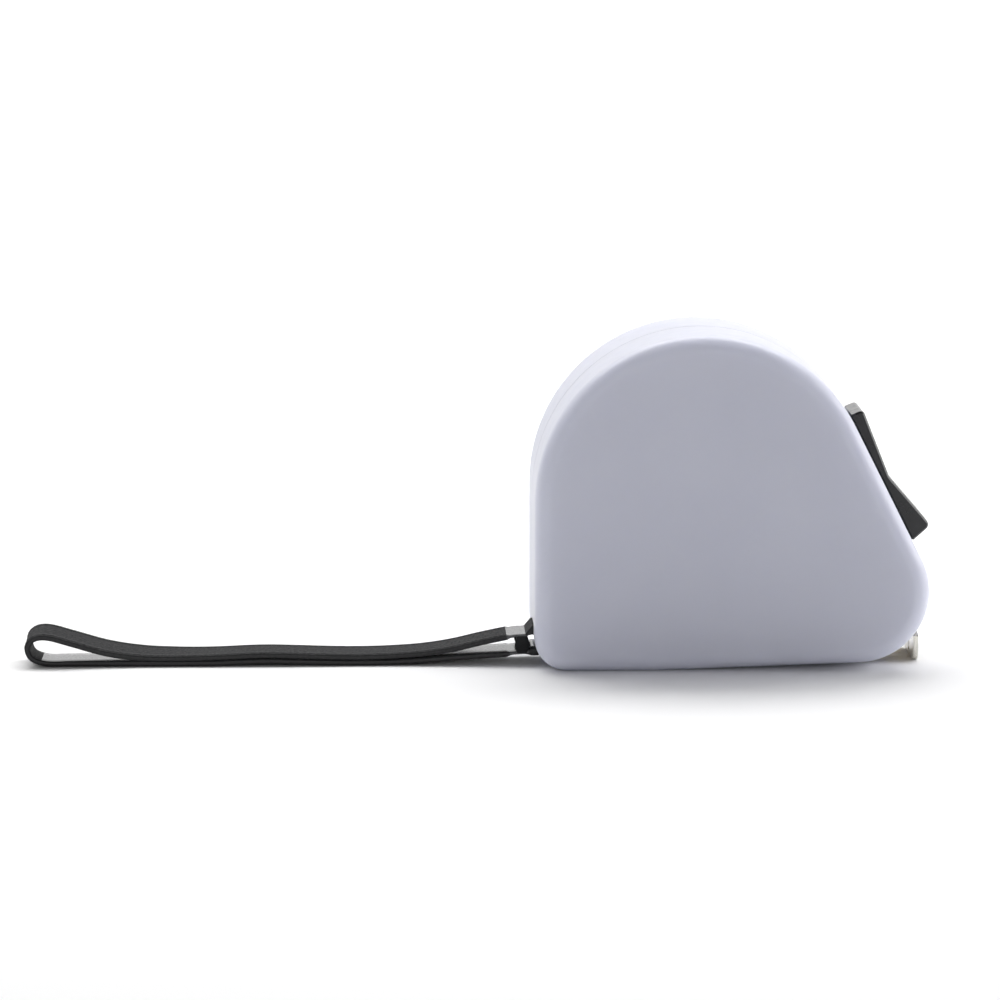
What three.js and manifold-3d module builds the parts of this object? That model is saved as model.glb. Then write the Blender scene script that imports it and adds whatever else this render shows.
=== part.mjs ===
// A pocket tape measure: moulded two-part case, sprung reel and blade, end hook, thumb lock,
// belt clip and wrist strap. Millimetres, +Z up, +X towards the nose where the blade comes out,
// -Y towards the blank face. Inside the functions X is counted from the rear wall; the group
// at the end moves the origin to the flat of the base, on the parting plane.

import * as THREE from "three";
import { mergeVertices } from "three/addons/utils/BufferGeometryUtils.js";
import Module from "manifold-3d";

const wasm = await Module();
wasm.setup();

// ---------------------------------------------------------------- driving dimensions

const GAP = 0.3; // between pieces that touch or slide on the real object
const ORIGIN_X = 14;

// case: the side profile is three circles and the lines that touch them
const HALF_THICKNESS = 16.5;
const WALL = 2;
const EDGE_RADIUS = 3;
const CROWN = { x: 29.6, z: 29.5, r: 29.6 };
const NOSE = { x: 56.7, z: 13.7, r: 12.5 };
const HEEL = { x: 5.75, z: 5.75, r: 5.75 };
const BASE_BREAK_X = 22; // the base is level up to here, then rises to the nose
const ARC_STEPS = 12;

// screws through the far shell into the near one, and the bosses that take them
const SCREWS = [
  { name: "case_screw_rear", x: 7.6, z: 10.6 },
  { name: "case_screw_top", x: 24.4, z: 54 },
  { name: "case_screw_front", x: 56, z: 26 },
];
const BOSS_RADIUS = 1.9;
const BOSS_FOOT_RADIUS = 3.2;
const BOSS_FOOT_Y = 10; // the bosses are wider from here to the face
const SCREW_RADIUS = 0.9;
const SCREW_TIP_Y = -9;
const HEAD_RADIUS = 1.7;
const HEAD_SEAT_Y = 12.3;
const HEAD_DEPTH = 1.2;
const RECESS_HALF_WIDTH = 0.22; // each arm of the cross in a screw's head

// reel
const BLADE_HALF_WIDTH = 8;
const COIL_RADIUS = 22.6;
const DRUM_RADIUS = 17.7;
const DRUM_WALL = 1.3;
const FLANGE_RADIUS = 20.5;
const FLANGE = 1.2;
const ARBOR_RADIUS = 3.4;
const ARBOR_SOCKET_Y = 11.5; // where the shells' sockets for the arbor begin
const SPRING_INNER = 4.6;
const SPRING_OUTER = 15.4;
const SPRING_TURNS = 5;
const SPRING_STRIP = 0.7;
const SPRING_HALF_WIDTH = 7;

// blade and mouth
const BLADE_THICKNESS = 0.3;
const BLADE_HOLLOW = 17; // radius of the blade's hollow upper side
const BLADE_Z = 4.25; // underside of the blade in its middle
const BLADE_X = [8.5, 66.9];
const MOUTH_HALF_WIDTH = 8.8;
const MOUTH_Z = [3.1, 8.1];

// hook
const HOOK_X = [67.3, 68.2];
const HOOK_HALF_WIDTH = 7;
const HOOK_CORNER = 2.5;
const HOOK_PLAY = 0.9;
const TANG_X = 57.8;
const TANG_HALF_WIDTH = 5.5;
const TANG_THICKNESS = 0.6;
const RIVET_XS = [60.6, 64.2];
const RIVET_RADIUS = 0.9;
const RIVET_HEAD_RADIUS = 1.7;
const RIVET_HEAD = 0.5;

// the insert that the blade slides on and the pad that the hook's tang meets
const GUIDE_X = [44, 57.3];
const GUIDE_Z = [3.1, 3.9];
const BUMPER_X = [60.6, 65.4];
const BUMPER_Z = [8.7, 10.4];
const BUMPER_HALF_WIDTH = 6.5;

// lock: lengths run down the front slope from its upper end, heights out from it
const LOCK_TRAVEL = 3.6;
const BUTTON_START = -1.1;
const BUTTON_HALF_WIDTH = 6.25;
const STEM = { from: 8, to: 14, halfWidth: 2.5 };
const SLIDER = { from: 3.5, to: 20.5, halfWidth: 5.5, thickness: 1.6 };
const ARM_HALF_WIDTH = 3;
const SHOE_X = [50.4, 55.2];
const SHOE_Z = [8.4, 10];

// belt clip on the far face
const CLIP_HALF_WIDTH = 7;
const CLIP_STRIP = 0.8;
const CLIP_TOP_Z = 52;
const CLIP_BEND_Z = 43;
const CLIP_SCREW_Z = 47.6;
const CLIP_SCREW_TIP_Y = 11.8;
const CLIP_SCREW_HEAD_RADIUS = 2.4;
const CLIP_BOSS_RADIUS = 2.8;
const CLIP_BOSS_Y = 10.6;

// wrist strap, the bar it goes round in the rear window, and the pin between its necks
const STRAP_Y = -4; // middle of the strap and its window
const STRAP_HALF_WIDTH = 4.5;
const STRAP_THICKNESS = 0.95;
const NECK_THICKNESS = 0.55;
const NECK_SHARE = 0.016; // share of the strap's length that each neck takes
const WINDOW_HALF_WIDTH = 5;
const WINDOW_Z = [1.6, 7.4];
const WINDOW_DEPTH = 4.2;
const BAR = { x: 1.35, z: 3.75, r: 0.95 };
const NECK_END_X = -1.45;
const PIN = { x: -2, r: 0.65, headThickness: 0.6 };

// ---------------------------------------------------------------- geometry helpers

/** A closed geometry as a manifold solid, with its faces pointing out. */
function solid(geometry) {
  const bare = geometry.clone();
  bare.deleteAttribute("normal");
  bare.deleteAttribute("uv");
  const merged = mergeVertices(bare, 1e-5);
  const vertProperties = new Float32Array(merged.attributes.position.array);
  const triVerts = new Uint32Array(merged.index.array);
  if (signedVolume(vertProperties, triVerts) < 0) {
    for (let i = 0; i < triVerts.length; i += 3) {
      [triVerts[i + 1], triVerts[i + 2]] = [triVerts[i + 2], triVerts[i + 1]];
    }
  }
  return new wasm.Manifold(new wasm.Mesh({ numProp: 3, vertProperties, triVerts }));
}

/** Six times the volume inside indexed triangles; negative when they face inwards. */
function signedVolume(positions, triangles) {
  const corner = (i) => new THREE.Vector3().fromArray(positions, 3 * triangles[i]);
  let total = 0;
  for (let i = 0; i < triangles.length; i += 3) {
    total += corner(i).dot(corner(i + 1).cross(corner(i + 2)));
  }
  return total;
}

const asSolid = (shape) => (shape.isBufferGeometry ? solid(shape) : shape);

/** The first geometry or solid with the others added. */
function join(first, ...others) {
  return others.reduce((sum, other) => sum.add(asSolid(other)), asSolid(first));
}

/** The first geometry or solid with the others cut away. */
function cut(first, ...others) {
  return others.reduce((rest, other) => rest.subtract(asSolid(other)), asSolid(first));
}

/** A named mesh of a geometry or solid, with a plain finish. */
function piece(name, shape, color, roughness = 0.5, metalness = 0) {
  const mesh = asSolid(shape).getMesh();
  const geometry = new THREE.BufferGeometry();
  geometry.setAttribute("position", new THREE.BufferAttribute(mesh.vertProperties, 3));
  geometry.setIndex(new THREE.BufferAttribute(mesh.triVerts, 1));
  geometry.computeVertexNormals();
  const material = new THREE.MeshStandardMaterial({ color, roughness, metalness });
  const node = new THREE.Mesh(geometry, material);
  node.name = name;
  return node;
}

/** A shape drawn in X and Z, extruded from y0 to y1. */
function plate(shape, y0, y1, curveSegments = ARC_STEPS) {
  const options = { depth: y1 - y0, bevelEnabled: false, curveSegments };
  return new THREE.ExtrudeGeometry(shape, options).rotateX(Math.PI / 2).translate(0, y1, 0);
}

/** A shape drawn in Y and Z, extruded from x0 to x1. */
function rail(shape, x0, x1, curveSegments = ARC_STEPS) {
  const options = { depth: x1 - x0, bevelEnabled: false, curveSegments };
  const geometry = new THREE.ExtrudeGeometry(shape, options);
  return geometry.rotateX(Math.PI / 2).rotateZ(Math.PI / 2).translate(x0, 0, 0);
}

/** A block between two corners. */
function block([x0, y0, z0], [x1, y1, z1]) {
  const geometry = new THREE.BoxGeometry(x1 - x0, y1 - y0, z1 - z0);
  return geometry.translate((x0 + x1) / 2, (y0 + y1) / 2, (z0 + z1) / 2);
}

/** Turned about a line along Y through (x, z), from [radius, y] corners. */
function turnedAlongY(x, z, corners, segments = 32) {
  const points = corners.map(([radius, y]) => new THREE.Vector2(radius, y));
  return new THREE.LatheGeometry(points, segments).translate(x, 0, z);
}

/** Turned about a line along Z through (x, 0), from [radius, z] corners. */
function turnedAlongZ(x, corners, segments = 24) {
  const points = corners.map(([radius, z]) => new THREE.Vector2(radius, z));
  return new THREE.LatheGeometry(points, segments).rotateX(Math.PI / 2).translate(x, 0, 0);
}

/** A round bar along Y. */
function rod(x, z, radius, y0, y1, segments = 24) {
  const corners = [[0, y0], [radius, y0], [radius, y1], [0, y1]];
  return turnedAlongY(x, z, corners, segments);
}

/** A ring about a line along Y, square in section. */
function ring(x, z, inner, outer, y0, y1, segments = 32) {
  const corners = [[inner, y0], [outer, y0], [outer, y1], [inner, y1], [inner, y0]];
  return turnedAlongY(x, z, corners, segments);
}

/** A closed outline through a list of two-number points. */
function outline(points) {
  return new THREE.Shape(points.map(([u, v]) => new THREE.Vector2(u, v)));
}

/**
 * The outline of a strip with a list of Vector2 as its middle line. The thickness is a number, or a
 * function of the share of the way along.
 */
function stripOutline(line, thickness) {
  const left = [];
  const right = [];
  line.forEach((point, i) => {
    const before = line[Math.max(i - 1, 0)];
    const after = line[Math.min(i + 1, line.length - 1)];
    const along = after.clone().sub(before).normalize();
    const share = i / (line.length - 1);
    const half = (typeof thickness === "function" ? thickness(share) : thickness) / 2;
    left.push([point.x - along.y * half, point.y + along.x * half]);
    right.push([point.x + along.y * half, point.y - along.x * half]);
  });
  return outline([...left, ...right.reverse()]);
}

/** Points along a smooth curve through a list of two-number points. */
function smoothLine(points, steps) {
  return new THREE.SplineCurve(points.map(([u, v]) => new THREE.Vector2(u, v))).getPoints(steps);
}

// ---------------------------------------------------------------- case

/** The angle of the outward normal of the line that touches the crown and the nose. */
function slopeNormal() {
  const away = Math.atan2(NOSE.z - CROWN.z, NOSE.x - CROWN.x);
  const apart = Math.hypot(NOSE.x - CROWN.x, NOSE.z - CROWN.z);
  return away + Math.acos((CROWN.r - NOSE.r) / apart);
}

const SLOPE_ANGLE = slopeNormal();
const SLOPE_TOP = new THREE.Vector3(
  CROWN.x + CROWN.r * Math.cos(SLOPE_ANGLE),
  0,
  CROWN.z + CROWN.r * Math.sin(SLOPE_ANGLE),
);

/** Takes geometry drawn along the front slope (X down it, Z out of it) to its place. */
function onSlope(geometry) {
  return geometry.rotateY(Math.PI / 2 - SLOPE_ANGLE).translate(SLOPE_TOP.x, 0, SLOPE_TOP.z);
}

/** The side profile of the case, moved inwards by inset. */
function caseProfile(inset) {
  const toNose = Math.atan2(NOSE.z - inset, NOSE.x - BASE_BREAK_X);
  const apart = Math.hypot(NOSE.x - BASE_BREAK_X, NOSE.z - inset);
  const rise = toNose - Math.asin((NOSE.r - inset) / apart);
  const shape = new THREE.Shape();
  shape.absarc(HEEL.x, HEEL.z, HEEL.r - inset, -Math.PI / 2, -Math.PI, true);
  shape.absarc(CROWN.x, CROWN.z, CROWN.r - inset, Math.PI, SLOPE_ANGLE, true);
  shape.absarc(NOSE.x, NOSE.z, NOSE.r - inset, SLOPE_ANGLE, rise - Math.PI / 2, true);
  shape.lineTo(BASE_BREAK_X, inset);
  shape.closePath();
  return shape;
}

/** The whole case as one body with rounded edges, before it is hollowed. */
function caseBody() {
  const geometry = new THREE.ExtrudeGeometry(caseProfile(0), {
    depth: 2 * (HALF_THICKNESS - EDGE_RADIUS),
    bevelThickness: EDGE_RADIUS,
    bevelSize: EDGE_RADIUS,
    bevelOffset: -EDGE_RADIUS,
    bevelSegments: 4,
    curveSegments: ARC_STEPS,
  });
  return geometry.rotateX(Math.PI / 2).translate(0, HALF_THICKNESS - EDGE_RADIUS, 0);
}

/** What is cut from both shells: the hollow, the rear window, the mouth and the lock's slot. */
function caseHollows() {
  const inside = HALF_THICKNESS - WALL;
  const slot = block(
    [STEM.from - GAP, -STEM.halfWidth - GAP, -WALL - 1],
    [STEM.to + LOCK_TRAVEL + GAP, STEM.halfWidth + GAP, 2],
  );
  return [
    plate(caseProfile(WALL), -inside, inside),
    block(
      [-1, STRAP_Y - WINDOW_HALF_WIDTH, WINDOW_Z[0]],
      [WINDOW_DEPTH, STRAP_Y + WINDOW_HALF_WIDTH, WINDOW_Z[1]],
    ),
    block([NOSE.x, -MOUTH_HALF_WIDTH, MOUTH_Z[0]], [75, MOUTH_HALF_WIDTH, MOUTH_Z[1]]),
    onSlope(slot),
  ];
}

/** One half of the case: side is -1 for the near shell and 1 for the far one. */
function shell(side) {
  const between = (a, b) => (side > 0 ? [a, b] : [-b, -a]);
  const inside = HALF_THICKNESS - WALL + 0.5;
  const barHalfLength = WINDOW_HALF_WIDTH + 0.5;
  let half = cut(caseBody(), ...caseHollows());
  for (const { x, z } of SCREWS) {
    half = join(half, rod(x, z, BOSS_RADIUS, ...between(0, inside)));
    half = join(half, rod(x, z, BOSS_FOOT_RADIUS, ...between(BOSS_FOOT_Y, inside)));
  }
  const bar = rod(BAR.x, BAR.z, BAR.r, STRAP_Y - barHalfLength, STRAP_Y + barHalfLength, 16);
  const socket = [ARBOR_RADIUS + GAP, ARBOR_RADIUS + 2];
  half = join(half, bar, ring(CROWN.x, CROWN.z, ...socket, ...between(ARBOR_SOCKET_Y, inside)));
  const [y0, y1] = between(-30, GAP / 2);
  return cut(half, block([-5, y0, -5], [80, y1, 70]));
}

function nearShell() {
  const holes = SCREWS.map(({ x, z }) => rod(x, z, SCREW_RADIUS + GAP, SCREW_TIP_Y - GAP, 0));
  return piece("near_shell", cut(shell(-1), ...holes), 0xe9eaf0, 0.25);
}

function farShell() {
  const holes = SCREWS.flatMap(({ x, z }) => [
    rod(x, z, SCREW_RADIUS + GAP, 0, HALF_THICKNESS + 1),
    rod(x, z, HEAD_RADIUS + GAP, HEAD_SEAT_Y - GAP, HALF_THICKNESS + 1),
  ]);
  const clipBoss = rod(CROWN.x, CLIP_SCREW_Z, CLIP_BOSS_RADIUS, CLIP_BOSS_Y, HALF_THICKNESS - 1);
  const holeY = [CLIP_SCREW_TIP_Y - 0.4, HALF_THICKNESS + 1];
  const clipHole = rod(CROWN.x, CLIP_SCREW_Z, SCREW_RADIUS + GAP, ...holeY);
  return piece("far_shell", cut(join(shell(1), clipBoss), ...holes, clipHole), 0xe9eaf0, 0.25);
}

/** The two arms of a cross recess, cut down to y from outside. */
function crossRecess(x, z, halfLength, y) {
  return [Math.PI / 4, (3 * Math.PI) / 4].map((turn) => {
    const arm = block([-halfLength, y, -RECESS_HALF_WIDTH], [halfLength, y + 2, RECESS_HALF_WIDTH]);
    return arm.rotateY(turn).translate(x, 0, z);
  });
}

function caseScrews() {
  return SCREWS.map(({ name, x, z }) => {
    const top = HEAD_SEAT_Y + HEAD_DEPTH;
    const corners = [
      [0, SCREW_TIP_Y],
      [SCREW_RADIUS, SCREW_TIP_Y],
      [SCREW_RADIUS, HEAD_SEAT_Y],
      [HEAD_RADIUS, HEAD_SEAT_Y],
      [HEAD_RADIUS, top - 0.3],
      [HEAD_RADIUS - 0.4, top],
      [0, top],
    ];
    const screw = cut(turnedAlongY(x, z, corners, 20), ...crossRecess(x, z, 1.1, top - 0.7));
    return piece(name, screw, 0x9a9c9f, 0.35, 0.9);
  });
}

// ---------------------------------------------------------------- reel

function springArbor() {
  const length = HALF_THICKNESS - WALL - GAP;
  const post = rod(CROWN.x, CROWN.z, ARBOR_RADIUS, -length, length, 32);
  const slit = block(
    [CROWN.x - 0.5, -SPRING_HALF_WIDTH - 1, CROWN.z - 5],
    [CROWN.x + 0.5, SPRING_HALF_WIDTH + 1, CROWN.z],
  );
  return piece("spring_arbor", cut(post, slit), 0xb9bcc0, 0.4, 0.8);
}

function powerSpring() {
  const line = [];
  const steps = SPRING_TURNS * 20;
  for (let i = 0; i <= steps; i += 1) {
    const angle = (2 * Math.PI * SPRING_TURNS * i) / steps;
    const radius = SPRING_INNER + ((SPRING_OUTER - SPRING_INNER) * i) / steps;
    line.push(new THREE.Vector2(CROWN.x + radius * Math.cos(angle), CROWN.z + radius * Math.sin(angle)));
  }
  const spiral = plate(stripOutline(line, SPRING_STRIP), -SPRING_HALF_WIDTH, SPRING_HALF_WIDTH);
  return piece("power_spring", spiral, 0x4b4f57, 0.35, 0.9);
}

function reelDrum() {
  const edge = BLADE_HALF_WIDTH + 0.5;
  const corners = [
    [ARBOR_RADIUS + GAP, edge],
    [ARBOR_RADIUS + GAP, edge + FLANGE],
    [FLANGE_RADIUS, edge + FLANGE],
    [FLANGE_RADIUS, edge],
    [DRUM_RADIUS, edge],
    [DRUM_RADIUS, -edge + GAP],
    [DRUM_RADIUS - DRUM_WALL, -edge + GAP],
    [DRUM_RADIUS - DRUM_WALL, edge],
    [ARBOR_RADIUS + GAP, edge],
  ];
  return piece("reel_drum", turnedAlongY(CROWN.x, CROWN.z, corners, 40), 0x2b2d31, 0.6);
}

function reelCap() {
  const edge = BLADE_HALF_WIDTH + 0.5;
  const disc = ring(CROWN.x, CROWN.z, ARBOR_RADIUS + GAP, FLANGE_RADIUS, -edge - FLANGE, -edge, 40);
  return piece("reel_cap", disc, 0x2b2d31, 0.6);
}

function tapeCoil() {
  const wound = ring(
    CROWN.x, CROWN.z, DRUM_RADIUS + GAP, COIL_RADIUS, -BLADE_HALF_WIDTH, BLADE_HALF_WIDTH, 48,
  );
  return piece("tape_coil", wound, 0xe8c531, 0.4, 0.3);
}

// ---------------------------------------------------------------- blade and hook

/** The section of a strip that lies in the blade's hollow, drawn in Y and Z. */
function hollowSection(halfWidth, underside, thickness) {
  const lift = (y, radius) => radius - Math.sqrt(radius * radius - y * y);
  const steps = 12;
  const under = [];
  const over = [];
  for (let i = 0; i <= steps; i += 1) {
    const y = halfWidth * ((2 * i) / steps - 1);
    const z = underside + lift(y, BLADE_HOLLOW);
    under.push([y, z]);
    over.push([y, z + thickness]);
  }
  return outline([...under, ...over.reverse()]);
}

function tapeBlade() {
  const section = hollowSection(BLADE_HALF_WIDTH, BLADE_Z, BLADE_THICKNESS);
  const reach = RIVET_RADIUS + GAP;
  const holes = RIVET_XS.map((x) => turnedAlongZ(x, [[0, 0], [reach, 0], [reach, 12], [0, 12]]));
  return piece("tape_blade", cut(rail(section, ...BLADE_X), ...holes), 0xe8c531, 0.4, 0.3);
}

/** The hook: a tang in the blade's hollow, slotted for its rivets, and a plate across the blade's end. */
function endHook() {
  const tangUnderside = BLADE_Z + BLADE_THICKNESS + GAP;
  const tang = rail(hollowSection(TANG_HALF_WIDTH, tangUnderside, TANG_THICKNESS), TANG_X, HOOK_X[1]);
  const top = tangUnderside + TANG_THICKNESS;
  const face = new THREE.Shape();
  face.moveTo(-HOOK_HALF_WIDTH, HOOK_CORNER);
  face.absarc(-HOOK_HALF_WIDTH + HOOK_CORNER, HOOK_CORNER, HOOK_CORNER, Math.PI, 1.5 * Math.PI);
  face.absarc(HOOK_HALF_WIDTH - HOOK_CORNER, HOOK_CORNER, HOOK_CORNER, 1.5 * Math.PI, 2 * Math.PI);
  face.lineTo(HOOK_HALF_WIDTH, top - 0.6);
  face.lineTo(TANG_HALF_WIDTH, top + 0.9);
  face.lineTo(2, top);
  face.lineTo(-2, top);
  face.lineTo(-TANG_HALF_WIDTH, top + 0.9);
  face.lineTo(-HOOK_HALF_WIDTH, top - 0.6);
  face.closePath();
  const nailSlot = block([HOOK_X[0] - 1, -0.8, 0.9], [HOOK_X[1] + 1, 0.8, 3]);
  const slots = RIVET_XS.map((x) => {
    const halfWidth = RIVET_RADIUS + GAP;
    return block([x - halfWidth - HOOK_PLAY, -halfWidth, 4.5], [x + halfWidth, halfWidth, 9]);
  });
  return piece("end_hook", cut(join(tang, rail(face, ...HOOK_X)), nailSlot, ...slots), 0xb8b6ae, 0.3, 0.9);
}

function hookRivets() {
  const under = BLADE_Z - GAP;
  const over = BLADE_Z + BLADE_THICKNESS + 2 * GAP + TANG_THICKNESS + 0.1;
  const corners = [
    [0, under - RIVET_HEAD],
    [RIVET_HEAD_RADIUS, under - RIVET_HEAD],
    [RIVET_HEAD_RADIUS, under],
    [RIVET_RADIUS, under],
    [RIVET_RADIUS, over],
    [RIVET_HEAD_RADIUS, over],
    [RIVET_HEAD_RADIUS - 0.5, over + RIVET_HEAD],
    [0, over + RIVET_HEAD],
  ];
  return RIVET_XS.map((x, i) => {
    const rivet = turnedAlongZ(x, corners, 20);
    return piece(`hook_rivet_${i + 1}`, rivet, 0xc2b280, 0.35, 0.8);
  });
}

function bladeGuide() {
  const [back, front] = GUIDE_X;
  const [low, high] = GUIDE_Z;
  const insert = outline([[back, low], [front, 3.55], [front, 3.7], [front - 0.5, high], [back, high]]);
  const wing = BLADE_HALF_WIDTH + 0.6;
  return piece("blade_guide", plate(insert, -wing, wing), 0x2b2d31, 0.5);
}

function mouthBumper() {
  const corners = [0, 1].map((i) => [BUMPER_X[i], (2 * i - 1) * BUMPER_HALF_WIDTH, BUMPER_Z[i]]);
  return piece("mouth_bumper", block(...corners), 0x1d1e20, 0.85);
}

// ---------------------------------------------------------------- lock

/** The thumb slide: its top dips in a V for the thumb and rises to a lip at its lower end. */
function lockButton() {
  const profile = outline([
    [0, GAP],
    [0.15, 2.1],
    [0.45, 2.5],
    [1, 2.62],
    [12.4, 1.67],
    [13, 1.62],
    [13.6, 1.74],
    [22.4, 4],
    [23.3, 4.1],
    [24, 3.6],
    [25, 0.6],
    [24.9, GAP],
  ]);
  const top = plate(profile, -BUTTON_HALF_WIDTH, BUTTON_HALF_WIDTH).translate(BUTTON_START, 0, 0);
  const stem = block(
    [STEM.from, -STEM.halfWidth, -WALL - GAP - SLIDER.thickness],
    [STEM.to, STEM.halfWidth, 1],
  );
  return piece("lock_button", join(onSlope(top), onSlope(stem)), 0x26272b, 0.2);
}

/** The plate under the slope that the button's stem is fixed in, with the arm that carries the shoe. */
function lockSlider() {
  const top = -WALL - GAP;
  const shelf = block(
    [SLIDER.from, -SLIDER.halfWidth, top - SLIDER.thickness],
    [SLIDER.to, SLIDER.halfWidth, top],
  );
  const hole = block(
    [STEM.from - GAP, -STEM.halfWidth - GAP, top - 3],
    [STEM.to + GAP, STEM.halfWidth + GAP, top + 1],
  );
  const arm = outline([
    [60.6, 25],
    [62.3, 23.1],
    [58.8, 18],
    [55.2, SHOE_Z[1] + GAP],
    [SHOE_X[0], SHOE_Z[1] + GAP],
    [SHOE_X[0], SHOE_Z[1] + 1.8],
    [53.4, 13.6],
    [57, 21],
  ]);
  const body = join(cut(onSlope(shelf), onSlope(hole)), plate(arm, -ARM_HALF_WIDTH, ARM_HALF_WIDTH));
  return piece("lock_slider", body, 0x3a3c41, 0.6);
}

function brakeShoe() {
  const pad = block([SHOE_X[0], -ARM_HALF_WIDTH, SHOE_Z[0]], [SHOE_X[1] - 0.2, ARM_HALF_WIDTH, SHOE_Z[1]]);
  return piece("brake_shoe", pad, 0x1d1e20, 0.9);
}

// ---------------------------------------------------------------- belt clip

/** A strip drawn in Y and Z, as wide as the clip. */
function clipStrip(line) {
  const centre = CROWN.x;
  return rail(stripOutline(line, CLIP_STRIP), centre - CLIP_HALF_WIDTH, centre + CLIP_HALF_WIDTH);
}

const CLIP_Y = HALF_THICKNESS + GAP + CLIP_STRIP / 2;

function clipBase() {
  const foot = clipStrip([new THREE.Vector2(CLIP_Y, CLIP_TOP_Z), new THREE.Vector2(CLIP_Y, CLIP_BEND_Z)]);
  const hole = rod(CROWN.x, CLIP_SCREW_Z, SCREW_RADIUS + GAP, 10, 30);
  return piece("clip_base", cut(foot, hole), 0xc9cbd0, 0.25, 1);
}

function beltClip() {
  const leaf = smoothLine([
    [CLIP_Y, CLIP_BEND_Z - GAP],
    [CLIP_Y + 2.2, CLIP_BEND_Z - 3.4],
    [CLIP_Y + 3.5, CLIP_BEND_Z - 9],
    [CLIP_Y + 2.8, CLIP_BEND_Z - 19],
    [CLIP_Y + 0.5, CLIP_BEND_Z - 28.5],
    [CLIP_Y + 0.7, CLIP_BEND_Z - 31],
    [CLIP_Y + 2.6, CLIP_BEND_Z - 34.5],
  ], 36);
  return piece("belt_clip", clipStrip(leaf), 0xc9cbd0, 0.25, 1);
}

function clipScrew() {
  const seat = HALF_THICKNESS + 2 * GAP + CLIP_STRIP;
  const corners = [
    [0, CLIP_SCREW_TIP_Y],
    [SCREW_RADIUS, CLIP_SCREW_TIP_Y],
    [SCREW_RADIUS, seat],
    [CLIP_SCREW_HEAD_RADIUS, seat],
    [CLIP_SCREW_HEAD_RADIUS - 0.2, seat + 0.7],
    [1.2, seat + 1.2],
    [0, seat + 1.3],
  ];
  const recess = crossRecess(CROWN.x, CLIP_SCREW_Z, 1.2, seat + 0.5);
  const screw = cut(turnedAlongY(CROWN.x, CLIP_SCREW_Z, corners, 24), ...recess);
  return piece("clip_screw", screw, 0x9a9c9f, 0.35, 0.9);
}

// ---------------------------------------------------------------- wrist strap

const NECK_RADIUS = BAR.r + GAP + NECK_THICKNESS / 2;
const UPPER_NECK_Z = BAR.z + NECK_RADIUS;
const LOWER_NECK_Z = BAR.z - NECK_RADIUS;

/** A band as wide as the strap, its middle line a list of Vector2 in X and Z. */
function strapBand(line, thickness) {
  const shape = stripOutline(line, thickness);
  return plate(shape, STRAP_Y - STRAP_HALF_WIDTH, STRAP_Y + STRAP_HALF_WIDTH);
}

/** The end of the strap that goes in at the top of the window, round the bar and out at the bottom. */
function strapKnuckle() {
  const line = [new THREE.Vector2(0.2, UPPER_NECK_Z)];
  const steps = 12;
  for (let i = 0; i <= steps; i += 1) {
    const angle = Math.PI / 2 - (Math.PI * i) / steps;
    const x = BAR.x + NECK_RADIUS * Math.cos(angle);
    line.push(new THREE.Vector2(x, BAR.z + NECK_RADIUS * Math.sin(angle)));
  }
  line.push(new THREE.Vector2(0.2, LOWER_NECK_Z));
  return piece("strap_knuckle", strapBand(line, NECK_THICKNESS), 0x303236, 0.6);
}

/** The middle line of the strap: out along the upper run, round the far end and back along the table. */
const STRAP_ROUTE = [
  [NECK_END_X, UPPER_NECK_Z],
  [-3.2, 5.2],
  [-5, 4.87],
  [-9.3, 3.97],
  [-14.4, 2.8],
  [-19.4, 2.05],
  [-24.5, 1.68],
  [-29.3, 1.52],
  [-34.7, 1.54],
  [-41.5, 1.75],
  [-46, 1.88],
  [-50, 1.83],
  [-56.3, 1.56],
  [-62.6, 1.5],
  [-68.9, 1.72],
  [-75.2, 2.64],
  [-81.5, 4.42],
  [-85.2, 5.45],
  [-87.5, 5.42],
  [-88.85, 4.4],
  [-89, 2.75],
  [-88.1, 1.3],
  [-85.6, 0.55],
  [-81.3, 0.54],
  [-75, 0.53],
  [-68.7, 0.53],
  [-62.5, 0.53],
  [-56.2, 0.56],
  [-50, 0.8],
  [-46, 0.84],
  [-41.4, 0.72],
  [-34.7, 0.56],
  [-29.3, 0.53],
  [-24.5, 0.62],
  [-19.5, 0.88],
  [-14.4, 1.28],
  [-9.4, 1.62],
  [-5.2, 1.86],
  [-3.2, 2.13],
  [NECK_END_X, LOWER_NECK_Z],
];

function wristStrap() {
  const line = smoothLine(STRAP_ROUTE, 117);
  const isNeck = (share) => Math.min(share, 1 - share) < NECK_SHARE;
  const thickness = (share) => (isNeck(share) ? NECK_THICKNESS : STRAP_THICKNESS);
  return piece("wrist_strap", strapBand(line, thickness), 0x303236, 0.6);
}

/** The pin between the necks, with a six-sided head over their edges at each end. */
function strapPin() {
  const reach = STRAP_HALF_WIDTH + GAP;
  const head = outline([
    [PIN.x - 0.93, BAR.z + 1.6],
    [PIN.x - 1.35, BAR.z],
    [PIN.x - 0.9, BAR.z - 1.5],
    [PIN.x + 0.8, BAR.z - 1.5],
    [PIN.x + 1.35, BAR.z],
    [PIN.x + 0.93, BAR.z + 1.6],
  ]);
  const heads = [STRAP_Y - reach - PIN.headThickness, STRAP_Y + reach].map((y) =>
    plate(head, y, y + PIN.headThickness),
  );
  const pin = rod(PIN.x, BAR.z, PIN.r, STRAP_Y - reach - 0.1, STRAP_Y + reach + 0.1, 16);
  return piece("strap_pin", join(pin, ...heads), 0x26272b, 0.3);
}

// ---------------------------------------------------------------- assembly

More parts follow.
